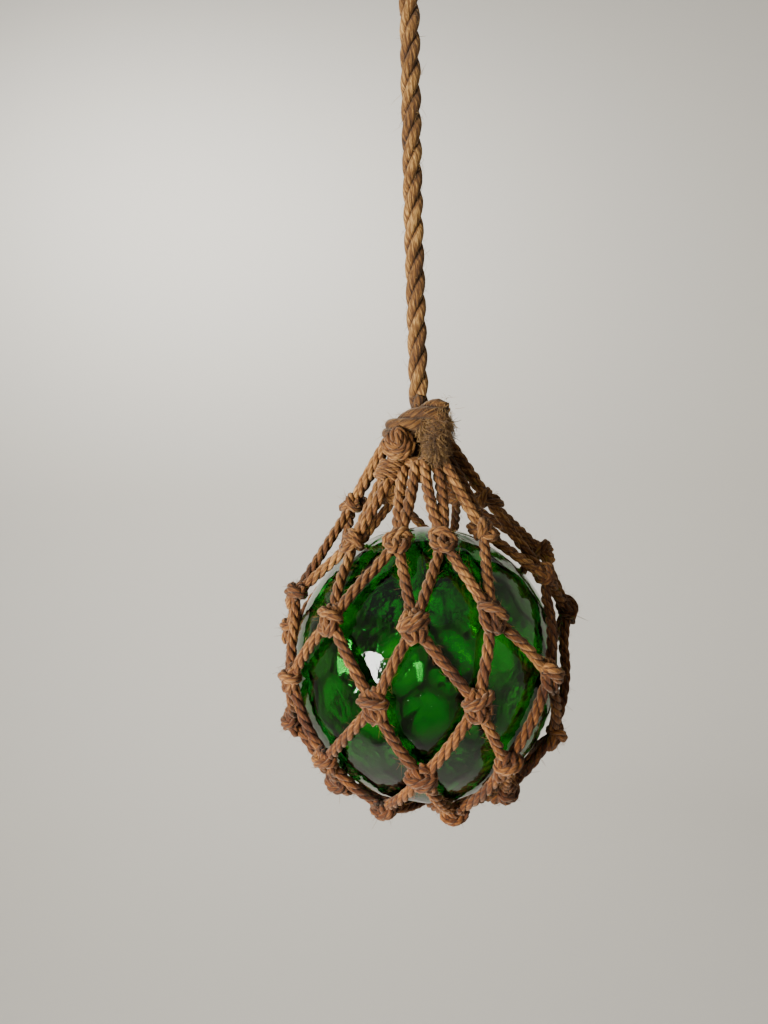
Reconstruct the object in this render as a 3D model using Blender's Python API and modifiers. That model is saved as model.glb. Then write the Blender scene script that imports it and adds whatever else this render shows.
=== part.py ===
# A glass net float: a blown glass ball in a knotted twine net, hung by a three-strand rope.
# Metres, +Z up. The origin is where a hook bears in the rope's eye, and the float hangs below it.
# Seen from the front, looking along +Y, azimuth 0 faces the viewer and +90 is at the right.

import math

import bmesh
import bpy
from mathutils import Matrix, Quaternion, Vector

# Driving sizes.
BALL_WIDTH = 0.146
BALL_HEIGHT = 0.151
SEAL_WIDTH = 0.016
SEAL_RISE = 0.0012
TWINE = 0.0060
ROPE = 0.0110
ROPE_RUN = 0.211
SPLICE_LENGTH = 0.030
SPLICE_SWELL = 1.35
EYE_WIDTH = 0.026
EYE_HEIGHT = 0.038
HEAD_RISE = 0.0715
GATHER_RISE = 0.0390
BOTTOM_RING = 0.032
CLEARANCE = 0.0003

# How finely the round shapes are faceted.
BALL_SEGMENTS = 32
BALL_RINGS = 18
LEG_STEP = 0.017
HEX_TUBE_SEGMENTS = 6
ROUND_TUBE_SEGMENTS = 8
NET_GRAIN = 0.0009
NET_FACETS = 7300

# Knots of the net, row by row from the top: azimuth and latitude seen from the ball's centre in
# degrees, and how far the knot's middle stands off the glass, in twines. Each knot hangs between
# the knots of the same place and the next place in the row above. The back of the net rides
# higher than the front, and its right shoulder is slack.
KNOT_ROWS = [
    [(-59, 59, 1.2), (-17, 60, 1.5), (14, 60, 1.5), (49, 61, 1.9),
     (100, 67, 3.6), (146, 67, 3.7), (204, 67, 3.7), (252, 65, 3.7)],
    [(-41, 27.5, 0.9), (-4, 27.5, 0.9), (28, 29, 0.9), (80, 36, 1.4),
     (113, 36, 3.5), (164, 38, 1.2), (230, 38, 1.2), (282, 31, 1.4)],
    [(-18, 0, 0.9), (18, 0, 0.9), (52, 4, 0.9), (95, 18, 1.9),
     (142, 18, 1.0), (193, 19, 1.0), (260, 12, 1.2), (297, 1, 0.9)],
    [(-2, -28.5, 0.9), (33, -27, 0.9), (73, -27, 1.0), (118, -17, 0.9),
     (166, -14, 0.9), (222, -14, 0.9), (278, -22, 1.2), (312, -28.5, 0.9)],
    [(21, -62, 0.9), (53, -51, 0.9), (96, -45, 0.9), (142, -40, 0.9),
     (193, -38, 0.9), (248, -41, 0.9), (300, -47, 0.9), (328, -57, 0.9)],
]

# Where the upper legs of each first-row knot reach the gather, in twines from the gather's
# middle: to the right, to the back and up.
GATHER_POINTS = [
    (-1.9, -1.3, 0.4), (-0.9, -1.8, -0.5), (0.8, -1.7, -0.3), (2.0, -0.9, 0.3),
    (2.4, 0.4, 1.4), (0.9, 1.6, 1.6), (-1.1, 1.6, 2.0), (-2.4, 0.2, 2.2),
]
GATHER_THICKNESS = 1.25
LEG_PAIR_SPREAD = 0.55

# The stopper knot at the end of the net's twine, in front of the gather, and the turns that the
# same end makes round a pair of upper legs below it. Both in twines from the gather's middle.
STOPPER_MIDDLE = (-1.85, -2.5, 1.2)
STOPPER_RADIUS = 0.62
STOPPER_FILL = 0.85
BINDING_LEG = 0
BINDING_SHARES = [0.72, 0.79, 0.86]
BINDING_RADIUS = 0.95
BINDING_THICKNESS = 0.7
BINDING_POINTS = 8

# Middle of the net's closing ring under the ball, as azimuth and latitude in degrees. The ball's
# seal lies inside the ring.
BOTTOM_MIDDLE = (180, -79)

# One net knot, in twines: a bight whose two sides lie next to each other and a collar that passes
# round them on a slant, drawn tight over a full middle. The legs run into it and stop this far
# short of its middle.
LEG_SHORT = 0.3
KNOT_TWINE = 0.86
BIGHT_HALF_WIDTH = 0.56
BIGHT_HALF_HEIGHT = 1.05
BIGHT_DROP = 0.2
BIGHT_POINTS = 6
COLLAR_HALF_WIDTH = 0.85
COLLAR_DEPTH = 0.5
COLLAR_RISE = 0.35
COLLAR_SLANT = 0.3
COLLAR_POINTS = 6
KNOT_FILL = 0.72
KNOT_FACET_SHARE = 0.4
KNOT_LEAN = 22.0

# The rope's hitch over the gather, in ropes from the rope's line and the hitch's top face: to the
# right, to the back and up. The stem runs down through the gather to a stopper, the turn passes
# round the back and left of the stem and across its front, and the brush hangs from its end.
STEM = [(0.0, 0.0, 0.0), (0.0, 0.05, -1.1), (0.05, 0.1, -2.2), (0.0, 0.0, -3.0), (0.0, 0.0, -3.7), (0.0, 0.0, -4.2)]
STEM_THICKNESS = [1.0, 1.0, 0.95, 0.95, 1.5, 0.9]
TURN = [(0.1, 0.35, -1.7), (-0.7, 0.75, -1.85), (-1.35, 0.15, -1.75), (-1.2, -0.7, -1.55),
        (-0.4, -1.12, -1.25), (0.5, -1.1, -0.85), (1.3, -0.95, -0.6)]
TURN_THICKNESS = [0.8, 0.95, 1.0, 1.0, 1.0, 1.05, 0.8]
BRUSH = [(1.0, -0.95, -0.75), (0.95, -1.2, -1.4), (0.8, -1.35, -2.2), (0.75, -1.4, -3.1)]
BRUSH_THICKNESS = [0.9, 1.3, 1.25, 0.5]


def remove_everything():
    for obj in list(bpy.data.objects):
        bpy.data.objects.remove(obj, do_unlink=True)


def new_collection(name):
    collection = bpy.data.collections.new(name)
    bpy.context.scene.collection.children.link(collection)
    return collection


def make_material(name, colour, roughness, metallic=0.0):
    material = bpy.data.materials.new(name)
    material.use_nodes = True
    shader = material.node_tree.nodes["Principled BSDF"]
    shader.inputs["Base Color"].default_value = (*colour, 1.0)
    shader.inputs["Roughness"].default_value = roughness
    shader.inputs["Metallic"].default_value = metallic
    material.diffuse_color = (*colour, 1.0)
    return material


def add_object(name, data, collection, material=None):
    obj = bpy.data.objects.new(name, data)
    collection.objects.link(obj)
    if material is not None:
        data.materials.clear()
        data.materials.append(material)
    return obj


def smooth_route(points, steps):
    """Points on a smooth curve through the given ones, with both ends kept."""
    chosen = [Vector(point) for point in points]
    padded = [chosen[0] * 2 - chosen[1]] + chosen + [chosen[-1] * 2 - chosen[-2]]
    route = []
    for index in range(1, len(padded) - 2):
        before, start, end, after = padded[index - 1:index + 3]
        for step in range(steps):
            t = step / steps
            linear = (end - before) * t
            square = (2 * before - 5 * start + 4 * end - after) * t * t
            cube = (3 * start - before - 3 * end + after) * t ** 3
            route.append((2 * start + linear + square + cube) / 2)
    route.append(chosen[-1])
    return route


def new_tube_curve(name, diameter, segments):
    curve = bpy.data.curves.new(name, "CURVE")
    curve.dimensions = "3D"
    curve.bevel_depth = diameter / 2
    curve.bevel_resolution = int(segments - 4) // 2
    curve.use_fill_caps = True
    return curve


def add_tube(curve, route, thickness=None, closed=False):
    """Adds a tube to the curve; thickness gives shares of the curve's own diameter."""
    spline = curve.splines.new("POLY")
    spline.points.add(len(route) - 1)
    for index, place in enumerate(route):
        spline.points[index].co = (*place, 1.0)
        spline.points[index].radius = 1.0 if thickness is None else thickness[index]
    spline.use_cyclic_u = closed


def mesh_from_curve(curve, name):
    """The curve's tubes as one mesh in which each tube is a closed shell."""
    obj = bpy.data.objects.new(name, curve)
    bpy.context.scene.collection.objects.link(obj)
    bpy.context.view_layer.update()
    evaluated = obj.evaluated_get(bpy.context.evaluated_depsgraph_get())
    mesh = bpy.data.meshes.new_from_object(evaluated)
    mesh.name = name
    mesh.transform(obj.matrix_world)
    bpy.data.objects.remove(obj, do_unlink=True)
    shell = bmesh.new()
    shell.from_mesh(mesh)
    bmesh.ops.remove_doubles(shell, verts=shell.verts, dist=0.000001)
    bmesh.ops.recalc_face_normals(shell, faces=shell.faces)
    shell.to_mesh(mesh)
    shell.free()
    return mesh


def apply_boolean(obj, other, operation, solver="EXACT"):
    """Joins or cuts obj by the other object. EXACT also resolves tubes that cross inside either."""
    modifier = obj.modifiers.new(operation.lower(), "BOOLEAN")
    modifier.operation = operation
    modifier.object = other
    modifier.solver = solver
    modifier.use_self = solver == "EXACT"
    replace_with_evaluated(obj)


def replace_with_evaluated(obj):
    """Gives the object the mesh that its modifiers make, and takes them off."""
    bpy.context.view_layer.update()
    evaluated = obj.evaluated_get(bpy.context.evaluated_depsgraph_get())
    mesh = bpy.data.meshes.new_from_object(evaluated)
    mesh.name = obj.name
    obj.modifiers.clear()
    old = obj.data
    obj.data = mesh
    bpy.data.meshes.remove(old)


def joined_faces(shell):
    """The mesh's faces in groups that hang together, the most faces first."""
    left = set(shell.faces)
    groups = []
    while left:
        group = [left.pop()]
        for face in group:
            for edge in face.edges:
                for other in edge.link_faces:
                    if other in left:
                        left.remove(other)
                        group.append(other)
        groups.append(group)
    return sorted(groups, key=len, reverse=True)


def keep_outer_skin(obj):
    """Drops the small voids that crossing tubes close up inside a knot."""
    shell = bmesh.new()
    shell.from_mesh(obj.data)
    for group in joined_faces(shell)[1:]:
        bmesh.ops.delete(shell, geom=group, context="FACES")
    bmesh.ops.recalc_face_normals(shell, faces=shell.faces)
    shell.to_mesh(obj.data)
    shell.free()


def join_curves(obj, curves, collection, solver):
    """Fuses the tubes of several curves into the object, whose solid they cross."""
    for curve in curves:
        added = add_object("added", mesh_from_curve(curve, "added"), collection)
        apply_boolean(obj, added, "UNION", solver)
        bpy.data.objects.remove(added, do_unlink=True)


def join_tubes(name, curves, collection, material, solver):
    """One solid from several curves, whose tubes cross each other."""
    joined = add_object(name, mesh_from_curve(curves[0], name), collection, material)
    join_curves(joined, curves[1:], collection, solver)
    return joined


# Heights above the ball's centre, worked out from the driving sizes.
KNOT_TOP = BALL_HEIGHT / 2 + HEAD_RISE
ROPE_FOOT = KNOT_TOP + CLEARANCE
ROPE_TOP = ROPE_FOOT + ROPE_RUN
SPLICE_FOOT = ROPE_TOP + CLEARANCE
EYE_THROAT = SPLICE_FOOT + SPLICE_LENGTH
HOOK_HEIGHT = EYE_THROAT + EYE_HEIGHT
BALL_CENTRE = Vector((0.0, 0.0, -HOOK_HEIGHT))


def toward(azimuth, latitude):
    """Unit direction from the ball's centre, for angles in degrees."""
    a = math.radians(azimuth)
    b = math.radians(latitude)
    return Vector((math.sin(a) * math.cos(b), -math.cos(a) * math.cos(b), math.sin(b)))


def ball_radius(direction):
    """Distance from the ball's centre to its surface along a unit direction."""
    across = math.hypot(direction.x, direction.y) / (BALL_WIDTH / 2)
    along = direction.z / (BALL_HEIGHT / 2)
    return 1 / math.hypot(across, along)


def make_ball(collection, material):
    """The blown ball, a little taller than wide, with the flat button that sealed it."""
    shell = bmesh.new()
    bmesh.ops.create_uvsphere(shell, u_segments=BALL_SEGMENTS, v_segments=BALL_RINGS, radius=1.0)
    seal_direction = toward(*BOTTOM_MIDDLE)
    turn = Vector((0, 0, -1)).rotation_difference(seal_direction)
    bmesh.ops.rotate(shell, verts=shell.verts, cent=(0, 0, 0), matrix=turn.to_matrix())
    bmesh.ops.scale(shell, verts=shell.verts, vec=(BALL_WIDTH / 2, BALL_WIDTH / 2, BALL_HEIGHT / 2))
    shell.verts.ensure_lookup_table()
    pole = max(shell.verts, key=lambda vert: vert.co.normalized().dot(seal_direction))
    fan = list(pole.link_faces)
    fan_radius = pole.link_edges[0].calc_length()
    bmesh.ops.inset_region(shell, faces=fan, thickness=fan_radius - SEAL_WIDTH / 2, use_even_offset=False)
    raised = bmesh.ops.extrude_face_region(shell, geom=list(pole.link_faces))
    lifted = [item for item in raised["geom"] if isinstance(item, bmesh.types.BMVert)]
    bmesh.ops.translate(shell, verts=lifted, vec=seal_direction * SEAL_RISE)
    bmesh.ops.delete(shell, geom=fan, context="FACES")
    bmesh.ops.translate(shell, verts=shell.verts, vec=BALL_CENTRE)
    bmesh.ops.recalc_face_normals(shell, faces=shell.faces)
    mesh = bpy.data.meshes.new("glass_ball")
    shell.to_mesh(mesh)
    shell.free()
    mesh.shade_smooth()
    return add_object("glass_ball", mesh, collection, material)


# Twine that lies on the glass keeps its middle this far off it. The last part is the room that a
# straight step of a leg and the flat facets need over the round ball.
STEP_ROOM = 0.0007
LEG_STANDOFF = TWINE / 2 + CLEARANCE + STEP_ROOM
KNOT_STANDOFF = CLEARANCE + STEP_ROOM / 2


def knot_place(knot):
    direction = toward(knot[0], knot[1])
    return direction * (ball_radius(direction) + knot[2] * TWINE)


def leg_route(start, end):
    """A taut leg, straight where it clears the ball and laid on the glass elsewhere."""
    short = (end - start).normalized() * (LEG_SHORT * TWINE)
    steps = math.ceil((end - start).length / LEG_STEP)
    route = []
    for step in range(steps + 1):
        place = (start + short).lerp(end - short, step / steps)
        direction = place.normalized()
        least = ball_radius(direction) + LEG_STANDOFF
        route.append(BALL_CENTRE + direction * max(place.length, least))
    return route


def make_knot_shape(collection):
    """One net knot about its own middle: x to the right, y up and z out from the glass."""
    bight = new_tube_curve("bight", TWINE, HEX_TUBE_SEGMENTS)
    bight_route = []
    for index in range(BIGHT_POINTS):
        turn = 2 * math.pi * (index + 0.5) / BIGHT_POINTS
        side = BIGHT_HALF_WIDTH * math.sin(turn)
        rise = BIGHT_HALF_HEIGHT * math.cos(turn) - BIGHT_DROP
        bight_route.append(Vector((side, rise, 0)) * TWINE)
    add_tube(bight, bight_route, [KNOT_TWINE] * BIGHT_POINTS, closed=True)
    collar = new_tube_curve("collar", TWINE, HEX_TUBE_SEGMENTS)
    collar_route = []
    for index in range(COLLAR_POINTS):
        turn = 2 * math.pi * (index + 0.5) / COLLAR_POINTS
        side = COLLAR_HALF_WIDTH * math.sin(turn)
        collar_route.append(Vector((side, COLLAR_RISE + COLLAR_SLANT * side, COLLAR_DEPTH * math.cos(turn))) * TWINE)
    add_tube(collar, collar_route, [KNOT_TWINE] * COLLAR_POINTS, closed=True)
    fill = bmesh.new()
    bmesh.ops.create_icosphere(fill, subdivisions=1, radius=KNOT_FILL * TWINE)
    mesh = bpy.data.meshes.new("fill")
    fill.to_mesh(mesh)
    fill.free()
    knot = add_object("knot", mesh, collection)
    join_curves(knot, [bight, collar], collection, "EXACT")
    keep_outer_skin(knot)
    thin = knot.modifiers.new("fewer facets", "DECIMATE")
    thin.ratio = KNOT_FACET_SHARE
    replace_with_evaluated(knot)
    return knot


def add_net_knots(knot, places):
    """A mesh with one copy of the knot at each place, pushed clear of the glass."""
    shell = bmesh.new()
    for number, place in enumerate(places):
        outward = place.normalized()
        up = (Vector((0, 0, 1)) - outward * outward.z).normalized()
        up = Quaternion(outward, math.radians(KNOT_LEAN) * math.sin(2.4 * number)) @ up
        right = up.cross(outward)
        turn = Matrix((right, up, outward)).transposed()
        first = len(shell.verts)
        shell.from_mesh(knot.data)
        shell.verts.ensure_lookup_table()
        for vert in shell.verts[first:]:
            spot = place + turn @ vert.co
            direction = spot.normalized()
            least = ball_radius(direction) + KNOT_STANDOFF
            vert.co = BALL_CENTRE + direction * max(spot.length, least)
    mesh = bpy.data.meshes.new("knots")
    shell.to_mesh(mesh)
    shell.free()
    return mesh


def gather_place(point):
    middle = Vector((0, 0, BALL_HEIGHT / 2 + GATHER_RISE))
    return middle + Vector(point) * TWINE


def bottom_ring_places(count):
    """Points of the closing ring that lies on the glass under the ball."""
    down = toward(*BOTTOM_MIDDLE)
    side = Vector((1, 0, 0))
    front = down.cross(side)
    places = []
    for index in range(count):
        turn = math.radians((KNOT_ROWS[-1][index][0] + KNOT_ROWS[-1][(index + 1) % count][0]) / 2)
        if KNOT_ROWS[-1][(index + 1) % count][0] < KNOT_ROWS[-1][index][0]:
            turn += math.pi
        around = side * math.sin(turn) + front * math.cos(turn)
        direction = (down * (BALL_HEIGHT / 2) + around * (BOTTOM_RING / 2)).normalized()
        places.append(direction * (ball_radius(direction) + LEG_STANDOFF))
    return places


def leg_layer(starts, ends):
    """A curve with one leg from each start to its end."""
    curve = new_tube_curve("legs", TWINE, HEX_TUBE_SEGMENTS)
    for start, end in zip(starts, ends):
        add_tube(curve, leg_route(start, end))
    return curve


def next_ones(places):
    return places[1:] + places[:1]


def stopper_and_binding(first_row, gather):
    """The twine's end: a stopper knot seen end on, and its turns round a pair of legs below."""
    curve = new_tube_curve("end", TWINE, HEX_TUBE_SEGMENTS)
    middle = gather_place(STOPPER_MIDDLE)
    outer = STOPPER_RADIUS * TWINE
    ring = []
    for index in range(BINDING_POINTS):
        turn = 2 * math.pi * index / BINDING_POINTS
        ring.append(BALL_CENTRE + middle + Vector((outer * math.sin(turn), 0, outer * math.cos(turn))))
    add_tube(curve, ring, closed=True)
    along = Vector((0, outer * STOPPER_FILL, 0))
    add_tube(curve, [BALL_CENTRE + middle - along, BALL_CENTRE + middle + along * 2.0])
    foot = first_row[BINDING_LEG]
    head = gather[BINDING_LEG]
    along = (head - foot).normalized()
    side = along.cross(Vector((0, 1, 0))).normalized()
    front = along.cross(side)
    reach = BINDING_RADIUS * TWINE
    for share in BINDING_SHARES:
        turns = []
        for index in range(BINDING_POINTS):
            turn = 2 * math.pi * index / BINDING_POINTS
            around = side * math.sin(turn) + front * math.cos(turn)
            turns.append(BALL_CENTRE + foot.lerp(head, share) + around * reach)
        add_tube(curve, turns, [BINDING_THICKNESS] * BINDING_POINTS, closed=True)
    return curve


def net_curves():
    """The net's twine: its legs, the closing ring, the gather and the twine's end."""
    rows = [[knot_place(knot) for knot in row] for row in KNOT_ROWS]
    count = len(rows[0])
    curves = []
    for upper, lower in zip(rows, rows[1:]):
        curves.append(leg_layer(upper, lower))
        curves.append(leg_layer(next_ones(upper), lower))
    gather = [gather_place(point) for point in GATHER_POINTS]
    for side in (-1, 1):
        tops = []
        for top in gather:
            aside = top.cross(Vector((0, 0, 1))).normalized()
            tops.append(top + aside * (side * LEG_PAIR_SPREAD * TWINE))
        curves.append(leg_layer(rows[0], tops))
    ring = bottom_ring_places(count)
    curves.append(leg_layer(rows[-1], ring))
    curves.append(leg_layer(next_ones(rows[-1]), ring))
    rings = new_tube_curve("rings", TWINE, HEX_TUBE_SEGMENTS)
    add_tube(rings, [BALL_CENTRE + place for place in ring], closed=True)
    add_tube(rings, [BALL_CENTRE + place for place in gather], [GATHER_THICKNESS] * count, closed=True)
    return curves + [rings, stopper_and_binding(rows[0], gather)]


def make_net(collection, material, hitch_cutter):
    """The knotted twine, fused where it touches itself and cleared of the rope's hitch."""
    knot = make_knot_shape(collection)
    places = [knot_place(place) for row in KNOT_ROWS for place in row]
    meshes = [add_net_knots(knot, places)]
    bpy.data.objects.remove(knot, do_unlink=True)
    for curve in net_curves():
        meshes.append(mesh_from_curve(curve, "twine"))
    loose = bmesh.new()
    for mesh in meshes:
        loose.from_mesh(mesh)
    mesh = bpy.data.meshes.new("net")
    loose.to_mesh(mesh)
    loose.free()
    net = add_object("net", mesh, collection, material)
    fuse = net.modifiers.new("fuse", "REMESH")
    fuse.mode = "VOXEL"
    fuse.voxel_size = NET_GRAIN
    replace_with_evaluated(net)
    facets = sum(len(face.vertices) - 2 for face in net.data.polygons)
    thin = net.modifiers.new("fewer facets", "DECIMATE")
    thin.ratio = NET_FACETS / facets
    replace_with_evaluated(net)
    apply_boolean(net, hitch_cutter, "DIFFERENCE", "MANIFOLD")
    keep_outer_skin(net)
    return net


def hitch_curves(extra):
    """The hitch's three tubes, each thickened by extra all round."""
    top = BALL_CENTRE + Vector((0, 0, KNOT_TOP))
    curves = []
    for points, thickness in ((STEM, STEM_THICKNESS), (TURN, TURN_THICKNESS), (BRUSH, BRUSH_THICKNESS)):
        curve = new_tube_curve("hitch", ROPE + 2 * extra, ROUND_TUBE_SEGMENTS)
        add_tube(curve, [top + Vector(point) * ROPE for point in points], thickness)
        curves.append(curve)
    return curves


def make_hitch(collection, material, cutters):
    hitch = join_tubes("head_knot", hitch_curves(0.0), collection, material, "MANIFOLD")
    keep_outer_skin(hitch)
    cutter = join_tubes("head_knot_room", hitch_curves(CLEARANCE), cutters, None, "MANIFOLD")
    cutter.hide_render = True
    cutter.display_type = "WIRE"
    return hitch, cutter


def make_rope(collection, material):
    """The taut stretch between the eye and the head knot, all but straight under the load."""
    shares = [0.0, 0.25, 0.5, 0.75, 1.0]
    sway = [0.0, -0.0003, -0.0006, -0.0003, 0.0]
    points = [BALL_CENTRE + Vector((bow, 0, ROPE_FOOT + ROPE_RUN * share)) for share, bow in zip(shares, sway)]
    curve = new_tube_curve("hanging_rope", ROPE, ROUND_TUBE_SEGMENTS)
    add_tube(curve, smooth_route(points, 2))
    return add_object("hanging_rope", curve, collection, material)


def make_eye(collection, material):
    """The spliced eye at the rope's end: a loop, and the swelling where its strands are tucked."""
    half_width = (EYE_WIDTH + ROPE) / 2
    crotch = -EYE_HEIGHT
    right = [Vector((ROPE * 0.1, 0, crotch - SPLICE_LENGTH * 0.35)),
             Vector((ROPE * 0.42, 0, crotch - SPLICE_LENGTH * 0.1)),
             Vector((half_width * 0.8, 0, crotch * 0.68)),
             Vector((half_width, 0, crotch * 0.3)),
             Vector((half_width * 0.72, 0, 0))]
    left = [Vector((-place.x, 0, place.z)) for place in reversed(right)]
    loop = new_tube_curve("loop", ROPE, ROUND_TUBE_SEGMENTS)
    add_tube(loop, smooth_route(right + [Vector((0, 0, ROPE / 2))] + left, 2))
    splice = new_tube_curve("splice", ROPE, ROUND_TUBE_SEGMENTS)
    foot = SPLICE_FOOT - HOOK_HEIGHT
    shares = [0.0, 0.25, 0.55, 0.85, 1.05]
    swell = [1.0, 1.18, SPLICE_SWELL, SPLICE_SWELL, 1.1]
    add_tube(splice, [Vector((0, 0, foot + SPLICE_LENGTH * share)) for share in shares], swell)
    eye = join_tubes("rope_eye", [loop, splice], collection, material, "EXACT")
    keep_outer_skin(eye)
    return eye


def main():
    remove_everything()
    parts = new_collection("glass float ball")
    cutters = new_collection("cutters")
    glass = make_material("green glass", (0.01, 0.12, 0.03), 0.05)
    twine = make_material("net twine", (0.23, 0.11, 0.045), 0.9)
    rope = make_material("hanging rope", (0.33, 0.19, 0.09), 0.9)
    make_ball(parts, glass)
    hitch, hitch_cutter = make_hitch(parts, rope, cutters)
    net = make_net(parts, twine, hitch_cutter)
    hanging = make_rope(parts, rope)
    eye = make_eye(parts, rope)
    for obj in (hitch, net, eye):
        obj.data.shade_smooth()


main()
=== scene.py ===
# Green glass float in its twine net, hung by a rope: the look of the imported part
import math
import random

import bmesh
import bpy
import numpy as np
from mathutils import Matrix, Quaternion, Vector, noise


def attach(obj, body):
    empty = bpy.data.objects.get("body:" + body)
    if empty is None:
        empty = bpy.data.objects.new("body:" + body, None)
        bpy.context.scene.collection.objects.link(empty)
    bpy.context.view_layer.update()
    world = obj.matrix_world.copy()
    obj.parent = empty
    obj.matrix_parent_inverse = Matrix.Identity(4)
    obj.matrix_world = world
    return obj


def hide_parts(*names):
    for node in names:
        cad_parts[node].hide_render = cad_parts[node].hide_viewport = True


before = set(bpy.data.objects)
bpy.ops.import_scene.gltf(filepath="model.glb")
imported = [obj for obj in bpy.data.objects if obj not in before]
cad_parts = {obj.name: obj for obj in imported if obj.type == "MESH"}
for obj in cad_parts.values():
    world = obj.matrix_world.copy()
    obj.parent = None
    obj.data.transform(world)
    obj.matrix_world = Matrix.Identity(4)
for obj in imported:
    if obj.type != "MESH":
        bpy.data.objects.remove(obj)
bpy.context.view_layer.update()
print("frame loaded with", len(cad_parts), "nodes")

# Camera, at the photograph's place and angle
camera = {
    "place": (0.0, -0.423, -0.3056),
    "lens": 27.04,
    "sensor": 36.0,
    "nearest": 0.01,
    "yaw": -2.8,
    "pitch": 4.95,
    "roll": 1.6,
}


def makeCamera():
    data = bpy.data.cameras.new("camera")
    data.lens = camera["lens"]
    data.sensor_width = camera["sensor"]
    data.clip_start = camera["nearest"]
    obj = bpy.data.objects.new("camera", data)
    bpy.context.scene.collection.objects.link(obj)
    yaw, pitch, roll = (math.radians(camera[k]) for k in ("yaw", "pitch", "roll"))
    ahead = Vector((math.sin(yaw) * math.cos(pitch), math.cos(yaw) * math.cos(pitch), -math.sin(pitch)))
    side = Vector((math.cos(yaw), -math.sin(yaw), 0.0))
    lift = side.cross(ahead)
    right = side * math.cos(roll) - lift * math.sin(roll)
    up = lift * math.cos(roll) + side * math.sin(roll)
    turn = Matrix((right, up, -ahead)).transposed().to_4x4()
    obj.matrix_world = Matrix.Translation(Vector(camera["place"])) @ turn
    bpy.context.scene.camera = obj


makeCamera()
print("camera ready")

# Sizes that the pieces share with the solids, in metres; heights are above the ball's middle
ball = {
    "width": 0.146,
    "height": 0.151,
    "centre": Vector((0.0, 0.0, -0.4266)),
    "sealAzimuth": 180,
    "sealLatitude": -79,
}
heights = {"knotTop": 0.147, "ropeRun": 0.211, "splice": 0.030, "room": 0.0003}

# Cords: pitch is the length of one full turn of a strand, step the distance between its points, and
# fat a strand's share of its cord's half thickness
twine = {"thick": 0.0060, "pitch": 0.0185, "step": 0.0021, "sides": 8, "fat": 0.53}
rope = {"thick": 0.0110, "pitch": 0.0405, "step": 0.0024, "sides": 14, "fat": 0.52}
# Both: how uneven a strand's thickness is along it, how far its shade may differ from its cord's, and
# where its UV starts, in centimetres
cordLook = {"strands": 3, "uneven": (0.96, 1.04), "shadeSpread": 0.08, "uvStart": (0, 40), "uvPerMetre": 100}


def smoothRoute(points, steps):
    # A smooth line through the points, with this many steps between two of them
    chosen = [Vector(p) for p in points]
    padded = [chosen[0] * 2 - chosen[1]] + chosen + [chosen[-1] * 2 - chosen[-2]]
    route = []
    for i in range(1, len(padded) - 2):
        a, b, c, d = padded[i - 1:i + 3]
        for s in range(steps):
            t = s / steps
            route.append((2 * b + (c - a) * t + (2 * a - 5 * b + 4 * c - d) * t * t
                          + (3 * b - a - 3 * c + d) * t ** 3) / 2)
    route.append(chosen[-1])
    return route


def loopRoute(points, steps):
    # The same for a line that closes on itself
    return smoothRoute(points[-1:] + points + points[:2], steps)[steps:steps * (len(points) + 1)]


def between(values):
    # A function that runs evenly through the values as its share goes from 0 to 1
    def size(share):
        at = share * (len(values) - 1)
        low = min(int(at), len(values) - 2)
        return values[low] + (values[low + 1] - values[low]) * (at - low)
    return size


def evenRoute(route, step, closed=False):
    # The same line with its points a fixed distance apart
    if closed:
        route = list(route) + [route[0]]
    lengths = [0.0]
    for a, b in zip(route, route[1:]):
        lengths.append(lengths[-1] + (b - a).length)
    count = max(2, round(lengths[-1] / step))
    even = []
    at = 0
    for i in range(count + (0 if closed else 1)):
        want = lengths[-1] * i / count
        while at < len(lengths) - 2 and lengths[at + 1] < want:
            at += 1
        span = lengths[at + 1] - lengths[at]
        even.append(route[at].lerp(route[at + 1], (want - lengths[at]) / span if span else 0.0))
    return even, lengths[-1]


def frames(route, closed=False):
    # A side direction at each point that turns as little as possible along the line
    count = len(route)
    tangents = []
    for i in range(count):
        before = route[i - 1] if closed or i else route[i]
        after = route[(i + 1) % count] if closed or i < count - 1 else route[i]
        tangents.append((after - before).normalized())
    side = tangents[0].orthogonal().normalized()
    sides = []
    for t in tangents:
        side = (side - t * side.dot(t)).normalized()
        sides.append(side)
    return tangents, sides


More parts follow.
